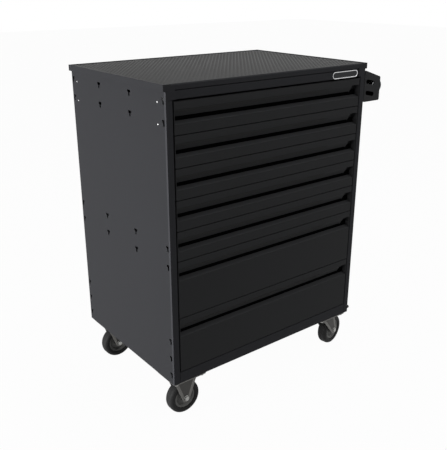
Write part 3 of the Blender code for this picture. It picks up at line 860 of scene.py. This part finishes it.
class CABINET_OT_fasteners(bpy.types.Operator):
    """Set the rivets of the sides, the buffers on the right side and the screws of the back"""

    bl_idname = "cabinet.fasteners"
    bl_label = "Fasteners"

    def execute(self, context):
        self.side_rivets()
        self.side_buffers()
        self.back_screws()
        return {"FINISHED"}

    def side_rivets(self):
        rivet = turned("rivet", [
            (0, 0.0008), (0.0010, 0.0008), (0.0018, 0.0006), (0.0023, 0.0002),
            (0.0023, -0.0002), (0, -0.0002),
        ], 20)
        for side, x, turn in (("left", body_low.x, -1), ("right", body_high.x, 1)):
            facing = Matrix.Rotation(turn * math.pi / 2, 4, "Y")
            heads = []
            for y in (0.037, 0.461):
                for z in (0.7735, 0.720):
                    place = Matrix.Translation((x, body_low.y + y, body_low.z + z))
                    heads.append(placed_copy(rivet, "head", place @ facing))
            obj = joined(heads, f"{side}_side_rivets")
            shade(obj)
            finish_piece(obj, body_of(f"{side}_side_panel"), "caster_zinc", "rivet_zinc")
        remove(rivet)

    def side_buffers(self):
        """The short round buffers low on the right side."""
        buffer = turned("buffer", [
            (0, 0.0085), (0.0030, 0.0085), (0.0034, 0.0075), (0.0046, 0.0075), (0.0055, 0.0062),
            (0.0055, 0), (0, 0),
        ], 28)
        facing = Matrix.Rotation(math.pi / 2, 4, "Y")
        heads = []
        for y in (body_low.y + 0.0058, body_high.y - 0.0058):
            place = Matrix.Translation((body_high.x, y, body_low.z + 0.0145))
            heads.append(placed_copy(buffer, "head", place @ facing))
        remove(buffer)
        obj = joined(heads, "side_buffers")
        shade(obj)
        finish_piece(obj, body_of("right_side_panel"), "powder_coat", "bracket_nylon")

    def back_screws(self):
        screw = pan_head("back_screw", 0.0038, 0.0016)
        low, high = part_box("back_panel")
        facing = Matrix.Rotation(-math.pi / 2, 4, "X")
        heads = []
        for x in (low.x + 0.024, high.x - 0.024):
            for share in (0.05, 0.27, 0.5, 0.73, 0.95):
                place = (x, high.y, low.z + (high.z - low.z) * share)
                heads.append(placed_copy(screw, "head", Matrix.Translation(place) @ facing))
        for share in (0.33, 0.67):
            for z in (low.z + 0.022, high.z - 0.022):
                place = (low.x + (high.x - low.x) * share, high.y, z)
                heads.append(placed_copy(screw, "head", Matrix.Translation(place) @ facing))
        remove(screw)
        obj = joined(heads, "back_panel_screws")
        shade(obj)
        finish_piece(obj, body_of("back_panel"), "caster_zinc", "bolt_zinc")


# The casters

def caster_place(corner):
    """The middle of the wheel and the turn of the fork about Z."""
    low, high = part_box("tyre_" + corner)
    middle = (low + high) / 2
    for joint in frame["joints"]:
        if joint["name"] == f"wheel_{corner}_spin":
            axis = Vector(joint["axis"])
            return middle, math.atan2(-axis.x, axis.y)
    raise RuntimeError(f"the frame has no wheel joint at {corner}")


def plate_middle(corner):
    node = ("rigid_fork_" if corner in rigid_corners else "swivel_plate_") + corner
    low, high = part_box(node)
    return Vector(((low.x + high.x) / 2, (low.y + high.y) / 2, high.z))


axle_height = 0.0505
leg_outer = 0.021
leg_inner = 0.0185
top_plate_thickness = 0.003


def rounded_rectangle(x, y, radius, steps=5):
    points = []
    for cx, cy, start in ((x - radius, y - radius, 0), (radius - x, y - radius, 90),
                          (radius - x, radius - y, 180), (x - radius, radius - y, 270)):
        for i in range(steps + 1):
            angle = math.radians(start + 90 * i / steps)
            points.append((cx + radius * math.cos(angle), cy + radius * math.sin(angle)))
    return points


def leg_outline(front, back, top, axle, radius, steps=12):
    """A leg from its top edge down to a round end about the axle, as (x, z) points."""
    def touch(corner, side):
        reach = Vector(axle) - Vector(corner)
        heading = math.atan2(reach.y, reach.x) + side * math.asin(radius / reach.length)
        return heading + side * math.pi / 2
    first = touch((front, top), -1)
    last = touch((back, top), 1)
    last += full_turn * math.ceil((first - last) / full_turn)
    points = [(back, top), (front, top)]
    for i in range(steps + 1):
        angle = first + (last - first) * i / steps
        points.append((axle[0] + radius * math.cos(angle), axle[1] + radius * math.sin(angle)))
    return points


def pressed_leg(name, outline, side, strip):
    """A leg of sheet steel, with raised strips along its edges and a sunk middle."""
    obj = plate(name, outline, leg_outer - leg_inner)
    enter_edit(obj)
    select_faces(obj, lambda middle, normal, area: normal.z > 0.9)
    bpy.ops.mesh.inset(thickness=strip)
    bpy.ops.mesh.inset(thickness=0.0018)
    bpy.ops.transform.translate(value=(0, 0, -sunk_depth))
    leave_edit()
    turn = Matrix(((1, 0, 0), (0, 0, side), (0, 1, 0))).to_4x4()
    moved(obj, Matrix.Translation((0, side * leg_inner, 0)) @ turn)
    tidy_normals(obj)
    return obj


class CABINET_OT_forks(bpy.types.Operator):
    """Press the caster forks and their top plates, and bolt the plates to the body"""

    bl_idname = "cabinet.forks"
    bl_label = "Caster forks"

    def execute(self, context):
        self.bolt = hex_head("plate_bolt", 0.0062, 0.0046, 0.0085, 0.0012)
        for corner in rigid_corners:
            self.rigid(corner)
        for corner in swivel_corners:
            self.swivel_plate(corner)
            self.swivel_fork(corner)
        for corner in corners:
            self.bolts(corner)
        remove(self.bolt)
        return {"FINISHED"}

    def top_plate(self, name):
        obj = plate(name, rounded_rectangle(0.055, 0.0465, 0.008), top_plate_thickness)
        return moved(obj, Matrix.Translation((0, 0, -top_plate_thickness)))

    def rigid(self, corner):
        node = "rigid_fork_" + corner
        at = plate_middle(corner)
        axle = (0, axle_height - at.z)
        outline = leg_outline(-0.043, 0.043, -0.0015, axle, 0.013)
        obj = self.top_plate("fork_" + corner)
        union(obj, [pressed_leg("leg", outline, side, 0.0075) for side in (-1, 1)])
        round_edges(obj, 0.0006)
        shade(obj)
        moved(obj, Matrix.Translation(at))
        finish_piece(obj, body_of(node), "caster_zinc", "pressed_zinc", node)
        self.paint_sunk_shade(obj, at, 0)

    def paint_sunk_shade(self, obj, at, turn):
        """Painted shade: a darker, rougher zinc in the sunk middle of each leg."""
        back = Matrix.Rotation(-turn, 4, "Z")
        sunk = leg_outer - sunk_depth
        paint(obj, "painted_sunk_shade", lambda middle, normal, area: (
            abs(abs((back @ (middle - at)).y) - sunk) < 0.0004 and abs((back @ normal).y) > 0.9))

    def swivel_plate(self, corner):
        node = "swivel_plate_" + corner
        at = plate_middle(corner)
        obj = self.top_plate("top_plate_" + corner)
        race = turned("race", [
            (0, -0.0015), (0.0262, -0.0015), (0.0262, -0.0042), (0.0300, -0.0058), (0.0300, -0.0098),
            (0.0285, -0.0118), (0.006, -0.0120), (0.006, -0.0150), (0.0100, -0.0151), (0.0100, -0.0185),
            (0.0080, -0.0200), (0, -0.0200),
        ], 48)
        union(obj, [race])
        round_edges(obj, 0.0004)
        shade(obj)
        moved(obj, Matrix.Translation(at))
        finish_piece(obj, body_of(node), "caster_zinc", "pressed_zinc", node)

    def swivel_fork(self, corner):
        node = "swivel_fork_" + corner
        at = plate_middle(corner)
        _, turn = caster_place(corner)
        top = -0.0123
        trail = 0.042
        bridge = plate("fork_" + corner, rounded_rectangle(0.036, leg_outer, 0.003), 0.0025)
        moved(bridge, Matrix.Translation((0.002, 0, top - 0.0025)))
        outline = leg_outline(-0.0315, 0.0355, top - 0.00125, (trail, axle_height - at.z), 0.013)
        union(bridge, [pressed_leg("leg", outline, side, 0.0065) for side in (-1, 1)])
        hole = turned("hole", [
            (0, top + 0.01), (0.0066, top + 0.01), (0.0066, top - 0.01), (0, top - 0.01),
        ], 32)
        cut(bridge, hole)
        round_edges(bridge, 0.0005)
        shade(bridge)
        moved(bridge, Matrix.Translation(at) @ Matrix.Rotation(turn, 4, "Z"))
        finish_piece(bridge, body_of(node), "caster_zinc", "pressed_zinc", node)
        self.paint_sunk_shade(bridge, at, turn)

    def bolts(self, corner):
        at = plate_middle(corner)
        hanging = Matrix.Rotation(math.pi, 4, "X")
        heads = []
        for x in (-0.0435, 0.0435):
            for y in (-0.036, 0.036):
                place = Matrix.Translation(at + Vector((x, y, -top_plate_thickness)))
                heads.append(placed_copy(self.bolt, "head", place @ hanging))
        obj = joined(heads, "plate_bolts_" + corner)
        shade(obj)
        finish_piece(obj, "cabinet", "caster_zinc", "bolt_zinc")


class CABINET_OT_wheels(bpy.types.Operator):
    """Make each caster's tyre, rim and axle bolt"""

    bl_idname = "cabinet.wheels"
    bl_label = "Wheels"

    def execute(self, context):
        tyre = self.tyre()
        rim = self.rim()
        axle = self.axle()
        for corner in corners:
            middle, turn = caster_place(corner)
            lying = Matrix.Rotation(math.pi / 2, 4, "X")
            place = Matrix.Translation(middle) @ Matrix.Rotation(turn, 4, "Z") @ lying
            for start, name, slot, material in (
                (tyre, "tyre", "tyre_rubber", "tread_rubber"),
                (rim, "rim", "rim_plastic", "moulded_rim"),
                (axle, "axle", "caster_zinc", "bolt_zinc"),
            ):
                node = f"{name}_{corner}"
                obj = placed_copy(start, f"{name}_round_{corner}", place)
                shade(obj, math.radians(40), weighted=False)
                finish_piece(obj, body_of(node), slot, material, node)
        remove(tyre, rim, axle)
        return {"FINISHED"}

    def tyre(self):
        """A tyre with a rounded tread, a fine rib at each shoulder and sunk side walls."""
        radius = 0.0505
        half = 0.016
        seat = 0.0343
        tread = []
        for i in range(11):
            angle = math.radians(90 * i / 10)
            tread.append((
                radius - 0.0107 + 0.0107 * math.cos(angle) ** 0.8,
                half - 0.0107 + 0.0107 * math.sin(angle) ** 0.9,
            ))
        groove = [(radius - 0.0006, 0.0015), (radius - 0.0001, 0.0022)]
        side = groove + [(radius, 0.004)] + tread[1:] + [
            (0.0385, half - 0.0006), (0.0372, half - 0.0012), (0.0358, half - 0.0010), (seat, half - 0.0014),
        ]
        outline = side[::-1] + [(r, -z) for r, z in side]
        return turned("tyre_start", outline + outline[:1], 72)

    def rim(self):
        """A dished rim with a stepped web and a stout hub."""
        side = [
            (0.0053, 0.0175), (0.0100, 0.0175), (0.0108, 0.0168), (0.0116, 0.0085), (0.0135, 0.0062),
            (0.0225, 0.0052), (0.0240, 0.0060), (0.0262, 0.0098), (0.0280, 0.0112), (0.0296, 0.0122),
            (0.0335, 0.0125), (0.0340, 0.0120),
        ]
        outline = side + [(r, -z) for r, z in side[::-1]]
        return turned("rim_start", outline + outline[:1], 56)

    def axle(self):
        """A bolt with a six-sided head and washer on one end, and a nut on the other."""
        shank = turned("shank", [(0, 0.0216), (0.0048, 0.0216), (0.0048, -0.0216), (0, -0.0216)], 24)
        head = hex_head("head", 0.0072, 0.0036, 0.0082, 0.0010)
        end = hex_head("nut", 0.0072, 0.0036, 0.0082, 0.0010)
        start = leg_outer - 0.0010
        moved(head, Matrix.Translation((0, 0, start)))
        moved(end, Matrix.Translation((0, 0, -start)) @ Matrix.Rotation(math.pi, 4, "X"))
        return joined([shank, head, end], "axle_start")


# The stage

class CABINET_OT_stage(bpy.types.Operator):
    """Set the pale floor, the soft studio light and the camera"""

    bl_idname = "cabinet.stage"
    bl_label = "Stage"

    def execute(self, context):
        settings = context.scene.cabinet_stage
        self.floor()
        self.sky(settings)
        self.lamp("key_light", (-3.4, 0.1, 0.55), 1.5, settings.key_power * 0.95)
        self.lamp("top_light", (0.5, 0.2, 3.6), 2.4, settings.key_power * 0.25)
        self.lamp("front_light", (1.6, -2.6, 2.8), 2.0, settings.key_power * 0.22)
        self.camera(settings)
        context.scene.view_settings.view_transform = "Standard"
        return {"FINISHED"}

    def seen_white(self, nodes, links):
        """One where a ray from the camera, a reflection or glass looks, and zero for other light."""
        path = nodes.new("ShaderNodeLightPath")
        first = nodes.new("ShaderNodeMath")
        first.operation = "MAXIMUM"
        links.new(path.outputs["Is Camera Ray"], first.inputs[0])
        links.new(path.outputs["Is Glossy Ray"], first.inputs[1])
        second = nodes.new("ShaderNodeMath")
        second.operation = "MAXIMUM"
        links.new(first.outputs["Value"], second.inputs[0])
        links.new(path.outputs["Is Transmission Ray"], second.inputs[1])
        return second.outputs["Value"]

    def floor(self):
        deselect()
        bpy.ops.mesh.primitive_plane_add(size=30, location=(0, 0, 0))
        obj = bpy.context.object
        obj.name = "floor"
        material = bpy.data.materials.new("white_floor")
        material.use_nodes = True
        nodes = material.node_tree.nodes
        links = material.node_tree.links
        shader = nodes["Principled BSDF"]
        shader.inputs["Base Color"].default_value = (0.50, 0.50, 0.50, 1)
        shader.inputs["Roughness"].default_value = 0.9
        glow = nodes.new("ShaderNodeEmission")
        glow.inputs["Color"].default_value = (1, 1, 1, 1)
        share = nodes.new("ShaderNodeMath")
        share.operation = "MULTIPLY"
        share.inputs[1].default_value = 0.97
        links.new(self.seen_white(nodes, links), share.inputs[0])
        mix = nodes.new("ShaderNodeMixShader")
        links.new(share.outputs["Value"], mix.inputs["Fac"])
        links.new(shader.outputs["BSDF"], mix.inputs[1])
        links.new(glow.outputs["Emission"], mix.inputs[2])
        links.new(mix.outputs["Shader"], nodes["Material Output"].inputs["Surface"])
        obj.data.materials.append(material)

    def sky(self, settings):
        world = bpy.data.worlds.new("studio")
        bpy.context.scene.world = world
        world.use_nodes = True
        nodes = world.node_tree.nodes
        links = world.node_tree.links
        background = nodes["Background"]
        background.inputs["Color"].default_value = (1, 1, 1, 1)
        level = nodes.new("ShaderNodeMapRange")
        level.inputs["To Min"].default_value = settings.sky
        level.inputs["To Max"].default_value = 1.0
        links.new(self.seen_white(nodes, links), level.inputs["Value"])
        links.new(level.outputs["Result"], background.inputs["Strength"])

    def lamp(self, name, place, size, power):
        data = bpy.data.lights.new(name, "AREA")
        data.shape = "SQUARE"
        data.size = size
        data.energy = power
        obj = bpy.data.objects.new(name, data)
        bpy.context.scene.collection.objects.link(obj)
        obj.location = place
        aim = Vector((0, 0, 0.5)) - Vector(place)
        obj.rotation_euler = aim.to_track_quat("-Z", "Y").to_euler()

    def camera(self, settings):
        data = bpy.data.cameras.new("camera")
        data.lens = settings.lens
        data.sensor_width = 36
        data.clip_end = 100
        obj = bpy.data.objects.new("camera", data)
        bpy.context.scene.collection.objects.link(obj)
        body_width = body_high.x - body_low.x
        obj.location = body_low + Vector((-1.1651, -1.8071, 1.4845)) * body_width
        obj.rotation_euler = (math.pi / 2 - settings.tilt, 0, -settings.bearing)
        bpy.context.scene.camera = obj


operators = (
    CABINET_OT_finishes,
    CABINET_OT_body,
    CABINET_OT_lid,
    CABINET_OT_mat,
    CABINET_OT_drawers,
    CABINET_OT_nameplate,
    CABINET_OT_handle,
    CABINET_OT_fasteners,
    CABINET_OT_forks,
    CABINET_OT_wheels,
    CABINET_OT_stage,
)


class CABINET_PT_looks(bpy.types.Panel):
    """The steps that dress the cabinet, in order"""

    bl_idname = "CABINET_PT_looks"
    bl_label = "Tool cabinet"
    bl_space_type = "VIEW_3D"
    bl_region_type = "UI"
    bl_category = "Cabinet"

    def draw(self, context):
        scene = context.scene
        for group in (scene.cabinet_finishes, scene.cabinet_sizes, scene.cabinet_stage):
            column = self.layout.column()
            for name in group.bl_rna.properties.keys():
                if name not in ("rna_type", "name"):
                    column.prop(group, name)
        for operator in operators:
            self.layout.operator(operator.bl_idname)


groups = (CabinetFinishes, CabinetSizes, CabinetStage)


def register():
    for cls in (*groups, *operators, CABINET_PT_looks):
        bpy.utils.register_class(cls)
    bpy.types.Scene.cabinet_finishes = bpy.props.PointerProperty(type=CabinetFinishes)
    bpy.types.Scene.cabinet_sizes = bpy.props.PointerProperty(type=CabinetSizes)
    bpy.types.Scene.cabinet_stage = bpy.props.PointerProperty(type=CabinetStage)


def unregister():
    del bpy.types.Scene.cabinet_finishes
    del bpy.types.Scene.cabinet_sizes
    del bpy.types.Scene.cabinet_stage
    for cls in reversed((*groups, *operators, CABINET_PT_looks)):
        bpy.utils.unregister_class(cls)


def main():
    register()
    bpy.ops.cabinet.finishes()
    bpy.ops.cabinet.body()
    bpy.ops.cabinet.lid()
    bpy.ops.cabinet.mat()
    bpy.ops.cabinet.drawers()
    bpy.ops.cabinet.nameplate()
    bpy.ops.cabinet.handle()
    bpy.ops.cabinet.fasteners()
    bpy.ops.cabinet.forks()
    bpy.ops.cabinet.wheels()
    bpy.ops.cabinet.stage()


if __name__ == "__main__":
    main()
